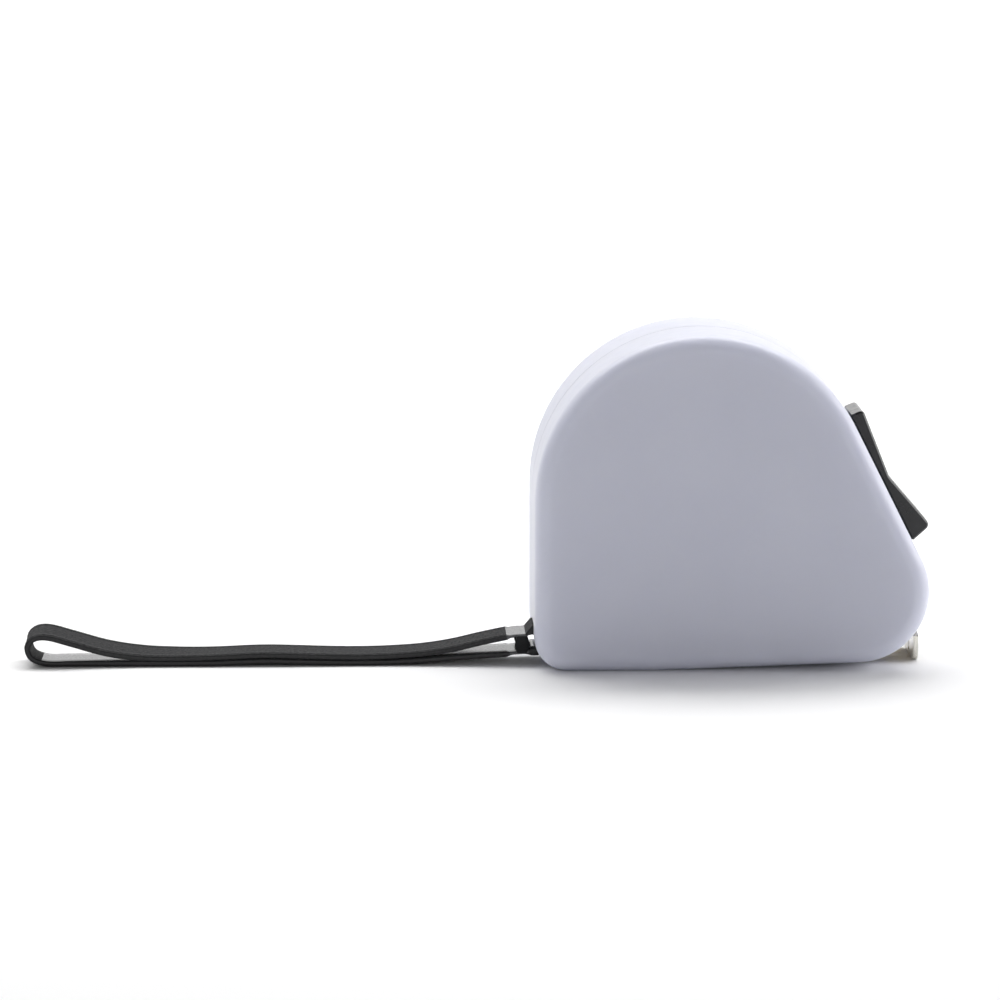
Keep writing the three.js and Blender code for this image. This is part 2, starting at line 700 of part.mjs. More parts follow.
const tapeMeasure = new THREE.Group();
tapeMeasure.position.x = -ORIGIN_X;
tapeMeasure.add(
  nearShell(),
  farShell(),
  ...caseScrews(),
  springArbor(),
  powerSpring(),
  reelDrum(),
  reelCap(),
  tapeCoil(),
  tapeBlade(),
  endHook(),
  ...hookRivets(),
  bladeGuide(),
  mouthBumper(),
  lockButton(),
  lockSlider(),
  brakeShoe(),
  clipBase(),
  beltClip(),
  clipScrew(),
  strapKnuckle(),
  wristStrap(),
  strapPin(),
);

export default tapeMeasure;
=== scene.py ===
"""Looks of the pocket tape measure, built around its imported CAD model.

Lengths are in millimetres and X is counted from the case's rear wall, as in the CAD source;
place() takes them to the frame's metres, which the floor and the lights are given in.
"""

import math

import bmesh
import bpy
from mathutils import Matrix, Vector


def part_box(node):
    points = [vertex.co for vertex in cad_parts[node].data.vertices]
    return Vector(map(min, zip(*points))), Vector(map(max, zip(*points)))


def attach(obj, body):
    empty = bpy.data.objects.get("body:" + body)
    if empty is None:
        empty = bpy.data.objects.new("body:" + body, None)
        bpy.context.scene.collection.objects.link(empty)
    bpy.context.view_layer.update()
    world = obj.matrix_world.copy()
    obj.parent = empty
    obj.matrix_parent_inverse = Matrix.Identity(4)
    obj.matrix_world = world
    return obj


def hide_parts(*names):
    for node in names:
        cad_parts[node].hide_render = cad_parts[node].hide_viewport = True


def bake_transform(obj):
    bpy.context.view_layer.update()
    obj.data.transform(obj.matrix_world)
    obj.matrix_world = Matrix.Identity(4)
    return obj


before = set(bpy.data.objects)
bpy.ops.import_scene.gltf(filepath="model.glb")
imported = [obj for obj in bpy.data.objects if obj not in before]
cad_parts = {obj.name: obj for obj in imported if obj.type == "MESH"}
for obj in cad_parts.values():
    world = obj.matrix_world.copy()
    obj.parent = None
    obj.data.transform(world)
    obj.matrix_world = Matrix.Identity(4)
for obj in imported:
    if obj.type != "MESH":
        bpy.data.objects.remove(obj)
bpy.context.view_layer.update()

# ---------------------------------------------------------------- driving dimensions

MM = 0.001
REAR_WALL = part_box("near_shell")[0].x
HALF_THICKNESS = -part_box("near_shell")[0].y / MM

# the case's side profile: three circles and the lines that touch them, as (x, z, radius)
HEEL = (5.75, 5.75, 5.75)
CROWN = (29.6, 29.5, 29.6)
NOSE = (56.7, 13.7, 12.5)
BASE_BREAK_X = 22
WALL = 2
EDGE_RADIUS = 3
PARTING_GAP = 0.1
PARTING_CHAMFER = 0.16

SCREWS = {"rear": (7.6, 10.6), "top": (24.4, 54), "front": (56, 26)}
SCREW_HEAD_Y = 13.5
SCREW_HEAD_RADIUS = 1.7
SCREW_SHAFT_RADIUS = 0.9
WINDOW_HALF_WIDTH = 5
WINDOW_Z = (1.6, 7.4)
MOUTH_HALF_WIDTH = 8.8
MOUTH_Z = (3.1, 8.1)

BLADE_HALF_WIDTH = 8
BLADE_HOLLOW_RADIUS = 17
BLADE_Z = 4.25
BLADE_THICKNESS = 0.3
BLADE_ENDS = (8.5, 66.9)
BLADE_CORNER = 1.4

HOOK_PLATE_X = 67.75
HOOK_PLATE_THICKNESS = 0.9
HOOK_HALF_WIDTH = 7
HOOK_CORNER = 2.5
HOOK_BEND_RADIUS = 1
TANG_X = 57.8
TANG_THICKNESS = 0.6
TANG_GAP = 0.3
TANG_HALF_WIDTH = 5.5
TANG_CORNER = 1.6
RIVET_XS = (60.6, 64.2)

BUTTON_HALF_WIDTH = 6.25
# places along the front slope, from its upper end
BUTTON_START = -1.1
STEM_PLACE = 11
SLOT_PLACE = 12.8

CLIP_Y = HALF_THICKNESS + 0.7
CLIP_HALF_WIDTH = 7
CLIP_THICKNESS = 0.8
CLIP_SCREW_Z = 47.6

# the strap, the bar it goes round and the pin between its necks, as (x, z, radius)
STRAP_Y = -4
STRAP_HALF_WIDTH = 4.5
STRAP_THICKNESS = 0.95
NECK_THICKNESS = 0.55
RAISED_LINE_HEIGHT = 0.07
BAR = (1.35, 3.75, 0.95)
PIN = (-2, 3.75, 0.65)


def place(x, y, z):
    """A point given in millimetres from the rear wall, in the frame."""
    return Vector((REAR_WALL + x * MM, y * MM, z * MM))


# ---------------------------------------------------------------- outlines

def arc(circle, start, end, steps):
    """Points on a circle (x, z, radius), from one angle to another in degrees."""
    x, z, r = circle
    turns = [math.radians(start + (end - start) * i / steps) for i in range(steps + 1)]
    return [(x + r * math.cos(t), z + r * math.sin(t)) for t in turns]


def between(a, b, steps):
    """The points inside the line from a to b, without its ends."""
    shares = [i / steps for i in range(1, steps)]
    return [(a[0] + (b[0] - a[0]) * t, a[1] + (b[1] - a[1]) * t) for t in shares]


def slope_normal():
    """The angle, in degrees, of the outward normal of the case's front slope."""
    dx, dz = NOSE[0] - CROWN[0], NOSE[1] - CROWN[1]
    lean = math.acos((CROWN[2] - NOSE[2]) / math.hypot(dx, dz))
    return math.degrees(math.atan2(dz, dx) + lean)


SLOPE = slope_normal()


def profile(inset):
    """The case's side profile moved inwards by inset, as a loop of (x, z) points."""
    heel, crown, nose = ((x, z, r - inset) for x, z, r in (HEEL, CROWN, NOSE))
    dx, dz = nose[0] - BASE_BREAK_X, nose[1] - inset
    rise = math.degrees(math.atan2(dz, dx) - math.asin(nose[2] / math.hypot(dx, dz)))
    pieces = [
        arc(heel, -90, -180, 18),
        arc(crown, 180, SLOPE, 90),
        arc(nose, SLOPE, rise - 90, 40),
        [(BASE_BREAK_X, inset)],
    ]
    loop = []
    for i, points in enumerate(pieces):
        following = pieces[(i + 1) % len(pieces)]
        loop += points + between(points[-1], following[0], 10)
    return loop


def rounded(points, radius, steps):
    """A closed outline with arcs for corners. radius is one number or one for each corner."""
    radii = radius if isinstance(radius, (list, tuple)) else [radius] * len(points)
    result = []
    for i, r in enumerate(radii):
        corner = Vector(points[i])
        a = Vector(points[i - 1]) - corner
        b = Vector(points[(i + 1) % len(points)]) - corner
        angle = a.angle(b)
        reach = min(r / math.tan(angle / 2), 0.49 * a.length, 0.49 * b.length)
        if reach < 1e-4:
            result.append(tuple(corner))
            continue
        r = reach * math.tan(angle / 2)
        a.normalize()
        b.normalize()
        centre = corner + (a + b).normalized() * (r / math.sin(angle / 2))
        start, end = corner + a * reach - centre, corner + b * reach - centre
        sweep = start.angle_signed(end)
        for k in range(steps + 1):
            result.append(tuple(centre + Matrix.Rotation(-sweep * k / steps, 2) @ start))
    return result


def rounded_rectangle(half_u, half_v, radius):
    """A rectangle about the origin with round corners."""
    corners = [(-half_u, -half_v), (half_u, -half_v), (half_u, half_v), (-half_u, half_v)]
    return rounded(corners, radius, 6)


# ---------------------------------------------------------------- meshes

SHARP_ANGLE = 38


def mesh_object(name, verts, faces, sharp=SHARP_ANGLE):
    """A mesh object of points in the frame, facing out, shaded smooth with sharp corners."""
    mesh = bpy.data.meshes.new(name)
    mesh.from_pydata([tuple(v) for v in verts], [], faces)
    merged = bmesh.new()
    merged.from_mesh(mesh)
    bmesh.ops.remove_doubles(merged, verts=merged.verts, dist=1e-7)
    bmesh.ops.recalc_face_normals(merged, faces=merged.faces)
    merged.to_mesh(mesh)
    merged.free()
    obj = bpy.data.objects.new(name, mesh)
    bpy.context.scene.collection.objects.link(obj)
    return shade(obj, sharp)


def shade(obj, sharp):
    """Smooth shading, broken where faces meet at more than sharp degrees."""
    obj.data.shade_smooth()
    obj.data.set_sharp_from_angle(angle=math.radians(sharp))
    return obj


def loft(rows):
    """Vertices and faces of a closed body through rows of equally many points."""
    n = len(rows[0])
    verts = [p for row in rows for p in row]
    faces = []
    for i in range(len(rows) - 1):
        for k in range(n):
            a, b = i * n + k, i * n + (k + 1) % n
            faces.append((a, b, b + n, a + n))
    faces.append(tuple(range(n - 1, -1, -1)))
    faces.append(tuple(range(len(verts) - n, len(verts))))
    return verts, faces


def applied(obj):
    """The object with its modifiers made part of its mesh."""
    view = bpy.context.evaluated_depsgraph_get()
    mesh = bpy.data.meshes.new_from_object(obj.evaluated_get(view))
    old = obj.data
    obj.modifiers.clear()
    obj.data = mesh
    mesh.name = obj.name
    bpy.data.meshes.remove(old)
    return obj


def carve(obj, cutters, operation="DIFFERENCE"):
    """Cuts the cutters out of the object, or joins them to it, and removes them."""
    for cutter in cutters:
        boolean = obj.modifiers.new("carve", "BOOLEAN")
        boolean.operation = operation
        boolean.solver = "EXACT"
        boolean.object = cutter
    applied(obj)
    for cutter in cutters:
        bpy.data.objects.remove(cutter)
    return shade(obj, SHARP_ANGLE)


def soften(obj, width, steps, angle=40, sharp=SHARP_ANGLE):
    """Rounds the object's edges that are sharper than angle; width is in millimetres."""
    bevel = obj.modifiers.new("soften", "BEVEL")
    bevel.width = width * MM
    bevel.segments = steps
    bevel.limit_method = "ANGLE"
    bevel.angle_limit = math.radians(angle)
    applied(obj)
    return shade(obj, sharp)


def prism(name, outline, origin, u, v, depths):
    """An outline in (u, v) made solid along u x v, between two depths."""
    u, v = Vector(u).normalized(), Vector(v).normalized()
    w = u.cross(v)
    start = place(*origin)
    rows = [[start + (u * a + v * b + w * d) * MM for a, b in outline] for d in depths]
    return mesh_object(name, *loft(rows))


X, Y, Z = (1, 0, 0), (0, 1, 0), (0, 0, 1)
DOWN_SLOPE = (math.sin(math.radians(SLOPE)), 0, -math.cos(math.radians(SLOPE)))
OUT_OF_SLOPE = (math.cos(math.radians(SLOPE)), 0, math.sin(math.radians(SLOPE)))
SLOPE_TOP = (CROWN[0] + CROWN[2] * OUT_OF_SLOPE[0], 0, CROWN[1] + CROWN[2] * OUT_OF_SLOPE[2])


def turned(name, origin, axis, corners, steps=48):
    """A solid turned about an axis, from (radius, height) corners that start and end on the axis."""
    axis = Vector(axis).normalized()
    side = axis.orthogonal().normalized()
    other = axis.cross(side)
    start = place(*origin)
    verts, faces = [start + axis * corners[0][1] * MM], []
    for r, h in corners[1:-1]:
        for k in range(steps):
            t = 2 * math.pi * k / steps
            verts.append(start + (axis * h + (side * math.cos(t) + other * math.sin(t)) * r) * MM)
    verts.append(start + axis * corners[-1][1] * MM)
    last = len(verts) - 1
    for k in range(steps):
        faces.append((0, 1 + (k + 1) % steps, 1 + k))
        for i in range(len(corners) - 3):
            a, b = 1 + i * steps + k, 1 + i * steps + (k + 1) % steps
            faces.append((a, b, b + steps, a + steps))
        faces.append((last - steps + k, last - steps + (k + 1) % steps, last))
    return mesh_object(name, verts, faces)


def rod(name, x, z, radius, y0, y1):
    """A round bar along Y."""
    return turned(name, (x, 0, z), Y, [(0, y0), (radius, y0), (radius, y1), (0, y1)], 40)


def spline(points, spacing):
    """(point, direction) pairs about spacing apart, along a smooth curve through the points."""
    knots = [Vector(p) for p in points]
    knots = [2 * knots[0] - knots[1], *knots, 2 * knots[-1] - knots[-2]]
    dense = []
    for a, b, c, d in zip(knots, knots[1:], knots[2:], knots[3:]):
        square = 2 * a - 5 * b + 4 * c - d
        cube = 3 * b - a - 3 * c + d
        for k in range(24):
            t = k / 24
            dense.append(0.5 * (2 * b + (c - a) * t + square * t**2 + cube * t**3))
    dense.append(knots[-2])
    lengths = [0]
    for a, b in zip(dense, dense[1:]):
        lengths.append(lengths[-1] + (b - a).length)
    count = max(2, round(lengths[-1] / spacing))
    result, i = [], 0
    for k in range(count + 1):
        at = lengths[-1] * k / count
        while i < len(dense) - 2 and lengths[i + 1] < at:
            i += 1
        share = (at - lengths[i]) / (lengths[i + 1] - lengths[i])
        result.append(dense[i].lerp(dense[i + 1], min(share, 1)))
    ends = [result[0], *result, result[-1]]
    return [(p, (after - before).normalized()) for before, p, after in zip(ends, result, ends[2:])]


# ---------------------------------------------------------------- materials

def principled(name, color, roughness, metallic=0.0, **inputs):
    """A Principled material; inputs are other sockets, with _ for the space in their names."""
    made = bpy.data.materials.new(name)
    made.use_nodes = True
    shader = made.node_tree.nodes["Principled BSDF"]
    shader.inputs["Base Color"].default_value = (*color, 1)
    shader.inputs["Roughness"].default_value = roughness
    shader.inputs["Metallic"].default_value = metallic
    for key, value in inputs.items():
        shader.inputs[key.replace("_", " ")].default_value = value
    return made


def noise(made, scale, detail, stretch=(1, 1, 1), coordinates="Object"):
    """A noise texture's value socket; scale is in cells to the metre (or to the UV unit)."""
    nodes, links = made.node_tree.nodes, made.node_tree.links
    where = nodes.new("ShaderNodeTexCoord")
    mapping = nodes.new("ShaderNodeMapping")
    mapping.inputs["Scale"].default_value = stretch
    texture = nodes.new("ShaderNodeTexNoise")
    texture.inputs["Scale"].default_value = scale
    texture.inputs["Detail"].default_value = detail
    links.new(where.outputs[coordinates], mapping.inputs["Vector"])
    links.new(mapping.outputs["Vector"], texture.inputs["Vector"])
    return texture.outputs["Fac"]


def spread(made, value, low, high):
    """A socket whose value is moved from the middle of 0 to 1 to the range low to high."""
    node = made.node_tree.nodes.new("ShaderNodeMapRange")
    node.inputs["From Min"].default_value = 0.3
    node.inputs["From Max"].default_value = 0.7
    node.inputs["To Min"].default_value = low
    node.inputs["To Max"].default_value = high
    made.node_tree.links.new(value, node.inputs["Value"])
    return node.outputs["Result"]


def tint(made, value, dark, light):
    """Base colour from dark to light as the value goes from 0.3 to 0.7."""
    nodes, links = made.node_tree.nodes, made.node_tree.links
    mix = nodes.new("ShaderNodeMix")
    mix.data_type = "RGBA"
    mix.inputs["A"].default_value = (*dark, 1)
    mix.inputs["B"].default_value = (*light, 1)
    links.new(spread(made, value, 0, 1), mix.inputs["Factor"])
    links.new(mix.outputs["Result"], nodes["Principled BSDF"].inputs["Base Color"])


def relief(made, value, height, strength=1.0):
    """Bump from a value, height in millimetres from 0 to 1, on top of any bump that is there."""
    nodes, links = made.node_tree.nodes, made.node_tree.links
    bump = nodes.new("ShaderNodeBump")
    bump.inputs["Strength"].default_value = strength
    bump.inputs["Distance"].default_value = height * MM
    normal = nodes["Principled BSDF"].inputs["Normal"]
    if normal.is_linked:
        links.new(normal.links[0].from_socket, bump.inputs["Normal"])
    links.new(value, bump.inputs["Height"])
    links.new(bump.outputs["Normal"], normal)


def rough(made, value, low, high):
    """Roughness from low to high as the value goes from 0.3 to 0.7."""
    shader = made.node_tree.nodes["Principled BSDF"]
    made.node_tree.links.new(spread(made, value, low, high), shader.inputs["Roughness"])


def case_plastic():
    """Pale satin plastic that light goes a little way into."""
    made = principled("case_plastic", (0.575, 0.588, 0.715), 0.38, Specular_IOR_Level=0.35)
    tint(made, noise(made, 60, 3), (0.565, 0.578, 0.705), (0.585, 0.598, 0.725))
    shader = made.node_tree.nodes["Principled BSDF"]
    shader.inputs["Subsurface Weight"].default_value = 1
    shader.inputs["Subsurface Radius"].default_value = (1, 1, 1)
    shader.inputs["Subsurface Scale"].default_value = 7 * MM
    rough(made, noise(made, 420, 5), 0.34, 0.42)
    relief(made, noise(made, 900, 4), 0.0015)
    return made


def button_plastic():
    """Hard glossy black."""
    made = principled("button_plastic", (0.012, 0.012, 0.013), 0.2, Specular_IOR_Level=0.42)
    tint(made, noise(made, 300, 4), (0.009, 0.009, 0.01), (0.015, 0.015, 0.017))
    rough(made, noise(made, 700, 5), 0.15, 0.26)
    relief(made, noise(made, 1500, 4), 0.002)
    return made


def inner_plastic():
    """Plain dark plastic of the pieces inside."""
    made = principled("inner_plastic", (0.05, 0.05, 0.055), 0.5)
    tint(made, noise(made, 200, 4), (0.04, 0.04, 0.044), (0.06, 0.06, 0.066))
    rough(made, noise(made, 500, 5), 0.42, 0.6)
    relief(made, noise(made, 2500, 5), 0.02)
    return made


def pad_rubber():
    """Dull black rubber."""
    made = principled("pad_rubber", (0.03, 0.03, 0.03), 0.8)
    tint(made, noise(made, 300, 4), (0.022, 0.022, 0.022), (0.04, 0.04, 0.04))
    rough(made, noise(made, 600, 5), 0.7, 0.9)
    relief(made, noise(made, 3000, 5), 0.04)
    return made


def steel(name, color, roughness, stretch=(1, 1, 1)):
    """Metal with fine lines drawn out along the axis whose stretch is smallest."""
    made = principled(name, color, roughness, 1)
    lines = noise(made, 2500, 4, stretch)
    dark = tuple(c * 0.86 for c in color)
    tint(made, lines, dark, color)
    rough(made, lines, roughness * 0.75, roughness * 1.35)
    relief(made, lines, 0.006)
    return made


def strap_grain():
    """Soft plastic with a fine leather-like grain; its UV map is in millimetres."""
    made = principled("strap_grain", (0.022, 0.022, 0.023), 0.6, Specular_IOR_Level=0.06)
    nodes, links = made.node_tree.nodes, made.node_tree.links
    cells = nodes.new("ShaderNodeTexVoronoi")
    where = nodes.new("ShaderNodeTexCoord")
    cells.inputs["Scale"].default_value = 2.6
    links.new(where.outputs["UV"], cells.inputs["Vector"])
    tint(made, noise(made, 1.3, 6, coordinates="UV"), (0.009, 0.009, 0.01), (0.034, 0.034, 0.035))
    rough(made, noise(made, 3, 5, coordinates="UV"), 0.5, 0.75)
    relief(made, cells.outputs["Distance"], 0.09, 0.8)
    relief(made, noise(made, 5, 4, coordinates="UV"), 0.05, 0.9)
    return made


def strap_edge():
    """The same soft plastic on the band's cut edges, satin and darker."""
    made = principled("strap_edge", (0.012, 0.012, 0.013), 0.35, Specular_IOR_Level=0.26)
    tint(made, noise(made, 2, 5, coordinates="UV"), (0.008, 0.008, 0.009), (0.018, 0.018, 0.019))
    rough(made, noise(made, 4, 5, coordinates="UV"), 0.28, 0.45)
    relief(made, noise(made, 3, 5, coordinates="UV"), 0.02, 0.6)
    return made


def pin_plastic():
    """Satin black, with little shine."""
    made = principled("pin_plastic", (0.008, 0.008, 0.009), 0.45, Specular_IOR_Level=0.12)
    tint(made, noise(made, 300, 4), (0.006, 0.006, 0.007), (0.01, 0.01, 0.011))
    rough(made, noise(made, 700, 5), 0.38, 0.52)
    relief(made, noise(made, 1500, 4), 0.004)
    return made


def strap_gloss():
    """The same soft plastic where it is smooth and shiny: the band's inside and its necks."""
    made = principled("strap_gloss", (0.05, 0.05, 0.053), 0.16, IOR=1.55)
    tint(made, noise(made, 1.1, 5, coordinates="UV"), (0.04, 0.04, 0.043), (0.07, 0.07, 0.072))
    rough(made, noise(made, 2.4, 5, coordinates="UV"), 0.1, 0.26)
    relief(made, noise(made, 1.8, 5, coordinates="UV"), 0.02, 0.6)
    return made


def blade_enamel(name="blade_enamel", windings=False):
    """Yellow lacquer on spring steel. windings adds the dark edges of a coil's turns."""
    made = principled(name, (0.72, 0.5, 0.05), 0.3, Coat_Weight=0.3)
    if windings:
        tint(made, noise(made, 5200, 2, (1, 0.02, 1)), (0.16, 0.14, 0.09), (0.6, 0.44, 0.09))
    else:
        tint(made, noise(made, 160, 4), (0.68, 0.47, 0.045), (0.76, 0.53, 0.06))
    rough(made, noise(made, 900, 4), 0.26, 0.34)
    relief(made, noise(made, 1800, 4), 0.0015)
    return made


def ink():
    """Printed black."""
    made = principled("scale_ink", (0.012, 0.012, 0.014), 0.4)
    tint(made, noise(made, 1500, 4), (0.008, 0.008, 0.01), (0.02, 0.02, 0.022))
    rough(made, noise(made, 2500, 4), 0.32, 0.5)
    return made


# ---------------------------------------------------------------- case

def shell_half(name, side):
    """Skin, rounded edge and inside wall of half the case, as one closed body. side is -1 or 1."""
    face = HALF_THICKNESS
    straight = face - EDGE_RADIUS
    land = PARTING_GAP / 2
    steps = 12
    rings = [(EDGE_RADIUS + 1.2, face), (EDGE_RADIUS + 0.3, face)]
    for i in range(steps + 1):
        turn = math.pi / 2 * (1 - i / steps)
        rings.append((EDGE_RADIUS * (1 - math.cos(turn)), straight + EDGE_RADIUS * math.sin(turn)))
    rings += [(0, straight * t) for t in (0.97, 0.7, 0.4, 0.1)]
    rings += [(0, land + PARTING_CHAMFER * 1.3), (0, land + PARTING_CHAMFER), (PARTING_CHAMFER, land)]
    rings += [(WALL, land), (WALL, face - WALL - 0.3), (WALL + 0.3, face - WALL)]
    rows = [[place(x, side * y, z) for x, z in profile(inset)] for inset, y in rings]
    return mesh_object(name, *loft(rows))


def shared_cutters():
    """The rear window, the mouth and the lock's slot."""
    z0, z1 = WINDOW_Z
    window = prism(
        "window", rounded_rectangle(WINDOW_HALF_WIDTH, (z1 - z0) / 2, 0.7),
        (0, STRAP_Y, (z0 + z1) / 2), Y, Z, (-3, 4.2),
    )
    z0, z1 = MOUTH_Z
    mouth = prism(
        "mouth", rounded_rectangle(MOUTH_HALF_WIDTH, (z1 - z0) / 2, 1),
        (NOSE[0], 0, (z0 + z1) / 2), Y, Z, (0, 20),
    )
    slot = prism("slot", rounded_rectangle(5.1, 2.8, 1), SLOPE_TOP, DOWN_SLOPE, Y, (-3, 3))
    slot.data.transform(Matrix.Translation(Vector(DOWN_SLOPE) * SLOT_PLACE * MM))
    return [window, mouth, slot]


def case_half(name, node, side, plastic):
    """A shell half with its openings, its share of the strap's bar and the far one's screw bores."""
    half = shell_half(name, side)
    cutters = shared_cutters()
    if side > 0:
        bore = SCREW_HEAD_RADIUS + 0.3
        floor = SCREW_HEAD_Y - 1.5
        for screw_place, (x, z) in SCREWS.items():
            cutters.append(rod(f"bore_{screw_place}", x, z, bore, floor, HALF_THICKNESS + 1))
        bar_ends = (PARTING_GAP / 2, STRAP_Y + WINDOW_HALF_WIDTH + 0.5)
    else:
        bar_ends = (STRAP_Y - WINDOW_HALF_WIDTH - 0.5, -PARTING_GAP / 2)
    carve(half, cutters)
    carve(half, [rod("bar", *BAR, *bar_ends)], "UNION")
    half.data.materials.append(plastic)
    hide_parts(node)
    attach(half, "case")


# ---------------------------------------------------------------- lock

def lock_button(plastic):
    """The thumb slide: two straight faces meeting in a shallow V, a rounded lip below, and its stem."""
    corners = [(0, 0.2), (0.2, 2.72), (13, 1.6), (24, 4.35), (25.1, 0.2)]
    outline = rounded(corners, [0, 0.8, 2.5, 1.1, 0], 8)
    outline = [(u + BUTTON_START, w) for u, w in outline]
    sides = (-BUTTON_HALF_WIDTH, BUTTON_HALF_WIDTH)
    top = prism("lock_thumb_slide", outline, SLOPE_TOP, DOWN_SLOPE, OUT_OF_SLOPE, sides)
    soften(top, 0.32, 1, 50, 20)
    stem = prism("stem", rounded_rectangle(3, 2.5, 0.5), SLOPE_TOP, DOWN_SLOPE, Y, (-3.9, 1))
    stem.data.transform(Matrix.Translation(Vector(DOWN_SLOPE) * STEM_PLACE * MM))
    carve(top, [stem], "UNION")
    top.data.materials.append(plastic)
    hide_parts("lock_button")
    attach(top, "lock")


# ---------------------------------------------------------------- wrist strap

# the strap's middle line: out along the upper run, round the far end, back along the table
STRAP_ROUTE = [
    (-3.2, 5.2),
    (-5, 4.87),
    (-9.3, 3.97),
    (-14.4, 2.8),
    (-19.4, 2.05),
    (-24.5, 1.68),
    (-29.3, 1.52),
    (-34.7, 1.54),
    (-41.5, 1.75),
    (-46, 1.88),
    (-50, 1.83),
    (-56.3, 1.56),
    (-62.6, 1.5),
    (-68.9, 1.72),
    (-75.2, 2.64),
    (-81.5, 4.42),
    (-85.2, 5.45),
    (-87.5, 5.42),
    (-88.85, 4.4),
    (-89, 2.75),
    (-88.1, 1.3),
    (-85.6, 0.55),
    (-81.3, 0.54),
    (-75, 0.53),
    (-68.7, 0.53),
    (-62.5, 0.53),
    (-56.2, 0.56),
    (-50, 0.8),
    (-46, 0.84),
    (-41.4, 0.72),
    (-34.7, 0.56),
    (-29.3, 0.53),
    (-24.5, 0.62),
    (-19.5, 0.88),
    (-14.4, 1.28),
    (-9.4, 1.62),
    (-5.2, 1.86),
    (-3.2, 2.13),
]
NECK_RADIUS = BAR[2] + 0.3 + NECK_THICKNESS / 2
NECK_FROM, NECK_TO = -4.3, -1.3
# past this x the band's inside takes the darker grain finish as painted shade in the far turn
PAINTED_TURN_SHADE_X = -87
LOOP_TWIST_X = (-52, -78)
UPPER_TWIST, LOWER_TWIST = 0.3, -0.1
# the band's materials, in the order that wrist_strap() gives them
GRAIN, GLOSS, EDGE = range(3)


def smooth(value, start, end):
    """0 at start, 1 at end, and a smooth rise between them."""
    t = min(max((value - start) / (end - start), 0), 1)
    return t * t * (3 - 2 * t)


def strap_line():
    """The band's closed middle line from the top of the bar, as (point, direction) pairs."""
    upper, lower = BAR[1] + NECK_RADIUS, BAR[1] - NECK_RADIUS
    leaving = [(x, upper) for x in (BAR[0], 0, -1.45)]
    returning = [(x, lower) for x in (-1.45, 0, BAR[0])]
    line = spline([*leaving, *STRAP_ROUTE, *returning], 0.55)
    steps = 14
    for i in range(1, steps):
        turn = math.pi * i / steps - math.pi / 2
        reach = Vector((math.cos(turn), math.sin(turn)))
        line.append((Vector(BAR[:2]) + reach * NECK_RADIUS, Vector((-reach.y, reach.x))))
    return line


def strap_section():
    """Round the band: (sideways, share of the half thickness, share of the raised line's height)."""
    edge = STRAP_HALF_WIDTH
    line = edge - 0.85
    right = [
        (0, 1, 0),
        (1.3, 1, 0),
        (2.4, 1, 0),
        (line - 0.2, 1, 0),
        (line - 0.08, 1, 1),
        (line + 0.08, 1, 1),
        (line + 0.2, 1, 0),
        (edge - 0.3, 1, 0),
        (edge - 0.12, 0.9, 0),
        (edge - 0.03, 0.66, 0),
        (edge, 0.3, 0),
        (edge, -0.3, 0),
        (edge - 0.03, -0.66, 0),
        (edge - 0.12, -0.9, 0),
        (edge - 0.3, -1, 0),
        (2.2, -1, 0),
        (0, -1, 0),
    ]
    left = [(-y, share, raised) for y, share, raised in reversed(right[1:-1])]
    return right + left


def strap_thickness(x, upper):
    """How far the outer and the inner surface lie from the band's middle line."""
    band = smooth(x, NECK_FROM + 0.2, NECK_FROM - 0.2)
    half = (NECK_THICKNESS + (STRAP_THICKNESS - NECK_THICKNESS) * band) / 2
    knuckle = smooth(x, -1.5, -0.2) * smooth(x, 1.4, 0.7)
    outer, inner = (1.4, -0.85) if upper else (0.3, 0.6)
    return half + outer * knuckle, half + inner * knuckle


def strap_finish(x, shares):
    """Grain outside, gloss inside and at the necks, edge on the cut sides; inside the far turn the
    darker, duller grain is painted shade.
    """
    if NECK_FROM <= x <= NECK_TO:
        return GLOSS
    if min(shares) > 0.85:
        return GRAIN
    if max(shares) < -0.85:
        # inside the far turn: the darker, duller grain stands in as painted shade where the band bends
        return GLOSS if x > PAINTED_TURN_SHADE_X else GRAIN
    return EDGE


